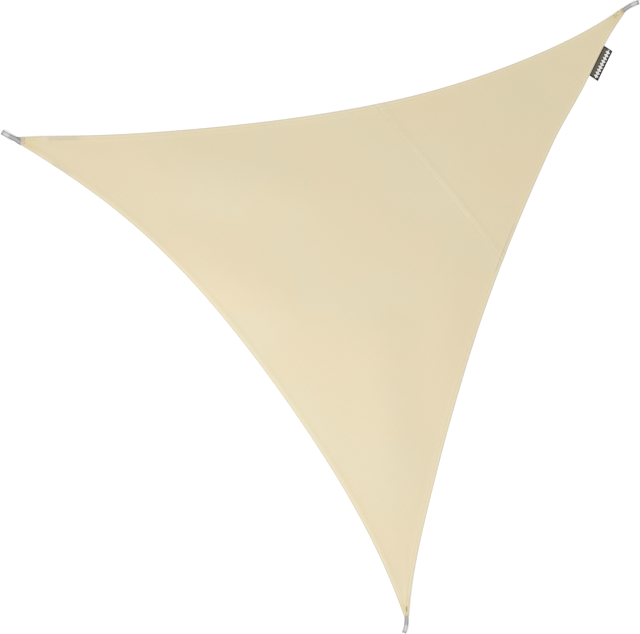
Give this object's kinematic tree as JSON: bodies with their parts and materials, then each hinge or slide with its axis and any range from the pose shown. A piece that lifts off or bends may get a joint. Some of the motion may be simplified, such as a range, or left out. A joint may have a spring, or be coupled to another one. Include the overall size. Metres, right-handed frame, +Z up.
{
  "type": "shade sail",
  "caption": "Triangular cloth shade sail with hollow hemmed sides, a felled seam across one corner, a webbing loop at each corner and a bare side label, laid out flat.",
  "frame": {"origin": "on the ground under the middle of the whole sail's bounding box", "axes": "+Z up, square to the cloth's face; +X towards the right side and +Y towards the top corner, as one looks down on the sail; the left side's corner points to -X and the bottom corner to -Y"},
  "size_m": [2.9286, 2.904, 0.014],
  "materials": {
    "cloth": "plain woven polyester, cream, matt",
    "webbing": "ribbed polyester webbing, pale grey",
    "label": "woven satin ribbon, charcoal, bare"
  },
  "bodies": {
    "root": {"main_panel": "cloth", "corner_panel": "cloth", "left_loop": "webbing", "bottom_loop": "webbing", "top_loop": "webbing", "label": "label"}
  },
  "joints": []
}
